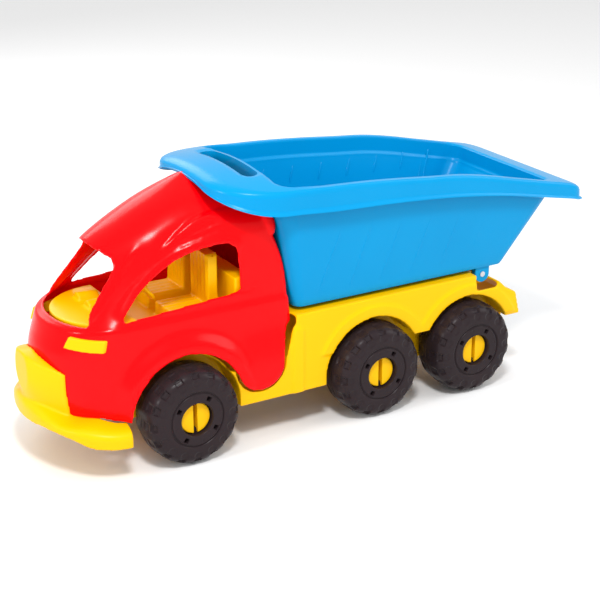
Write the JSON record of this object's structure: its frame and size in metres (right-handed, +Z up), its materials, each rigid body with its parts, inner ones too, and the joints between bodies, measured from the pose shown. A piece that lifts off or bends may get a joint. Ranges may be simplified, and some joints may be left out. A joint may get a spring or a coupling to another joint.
{
  "type": "toy dump truck",
  "caption": "Plastic toy dump truck with an open-window cab, a tipping bed with a handle slot, and chunky free-spinning wheels on snap-head axles.",
  "frame": {"origin": "on the ground, under the middle of the truck's length and width", "axes": "+X forward, towards the cab; +Y to the truck's left; +Z up"},
  "size_m": [0.62, 0.195, 0.276],
  "materials": {
    "red_plastic": "moulded polypropylene, high gloss",
    "blue_plastic": "moulded polypropylene, gloss",
    "yellow_plastic": "moulded polypropylene, satin gloss",
    "black_plastic": "moulded polyethylene, semi-gloss, brown-black",
    "zinc_steel": "zinc plated"
  },
  "bodies": {
    "truck": {"bed_hinge_rod": "zinc_steel", "cab_interior": "yellow_plastic", "cab_screws": "zinc_steel", "cab_shell": "red_plastic", "chassis": "yellow_plastic", "front_axle": "yellow_plastic", "front_bumper": "yellow_plastic", "headlight_left": "yellow_plastic", "headlight_right": "yellow_plastic", "middle_axle": "yellow_plastic", "rear_axle": "yellow_plastic", "steering_peg": "yellow_plastic"},
    "bed": {"dump_bed": "blue_plastic"},
    "steering": {"steering_wheel": "yellow_plastic"},
    "wheel_front_left": {"wheel_front_left_outer": "black_plastic", "wheel_front_left_inner": "black_plastic"},
    "wheel_front_right": {"wheel_front_right_outer": "black_plastic", "wheel_front_right_inner": "black_plastic"},
    "wheel_middle_left": {"wheel_middle_left_outer": "black_plastic", "wheel_middle_left_inner": "black_plastic"},
    "wheel_middle_right": {"wheel_middle_right_outer": "black_plastic", "wheel_middle_right_inner": "black_plastic"},
    "wheel_rear_left": {"wheel_rear_left_outer": "black_plastic", "wheel_rear_left_inner": "black_plastic"},
    "wheel_rear_right": {"wheel_rear_right_outer": "black_plastic", "wheel_rear_right_inner": "black_plastic"}
  },
  "joints": [
    {"name": "bed_tilt", "type": "hinge", "parent": "truck", "child": "bed", "pos_m": [-0.192, 0, 0.124], "axis": [0, -1, 0], "range_deg": [0, 45]},
    {"name": "steering_turn", "type": "hinge", "parent": "truck", "child": "steering", "pos_m": [0.192, 0.027, 0.167], "axis": [-0.788, 0, 0.6157], "continuous": true},
    {"name": "front_left_wheel_spin", "type": "hinge", "parent": "truck", "child": "wheel_front_left", "pos_m": [0.168, 0.0745, 0.05], "axis": [0, 1, 0], "continuous": true},
    {"name": "front_right_wheel_spin", "type": "hinge", "parent": "truck", "child": "wheel_front_right", "pos_m": [0.168, -0.0745, 0.05], "axis": [0, 1, 0], "continuous": true},
    {"name": "middle_left_wheel_spin", "type": "hinge", "parent": "truck", "child": "wheel_middle_left", "pos_m": [-0.047, 0.0745, 0.05], "axis": [0, 1, 0], "continuous": true},
    {"name": "middle_right_wheel_spin", "type": "hinge", "parent": "truck", "child": "wheel_middle_right", "pos_m": [-0.047, -0.0745, 0.05], "axis": [0, 1, 0], "continuous": true},
    {"name": "rear_left_wheel_spin", "type": "hinge", "parent": "truck", "child": "wheel_rear_left", "pos_m": [-0.167, 0.0745, 0.05], "axis": [0, 1, 0], "continuous": true},
    {"name": "rear_right_wheel_spin", "type": "hinge", "parent": "truck", "child": "wheel_rear_right", "pos_m": [-0.167, -0.0745, 0.05], "axis": [0, 1, 0], "continuous": true}
  ]
}
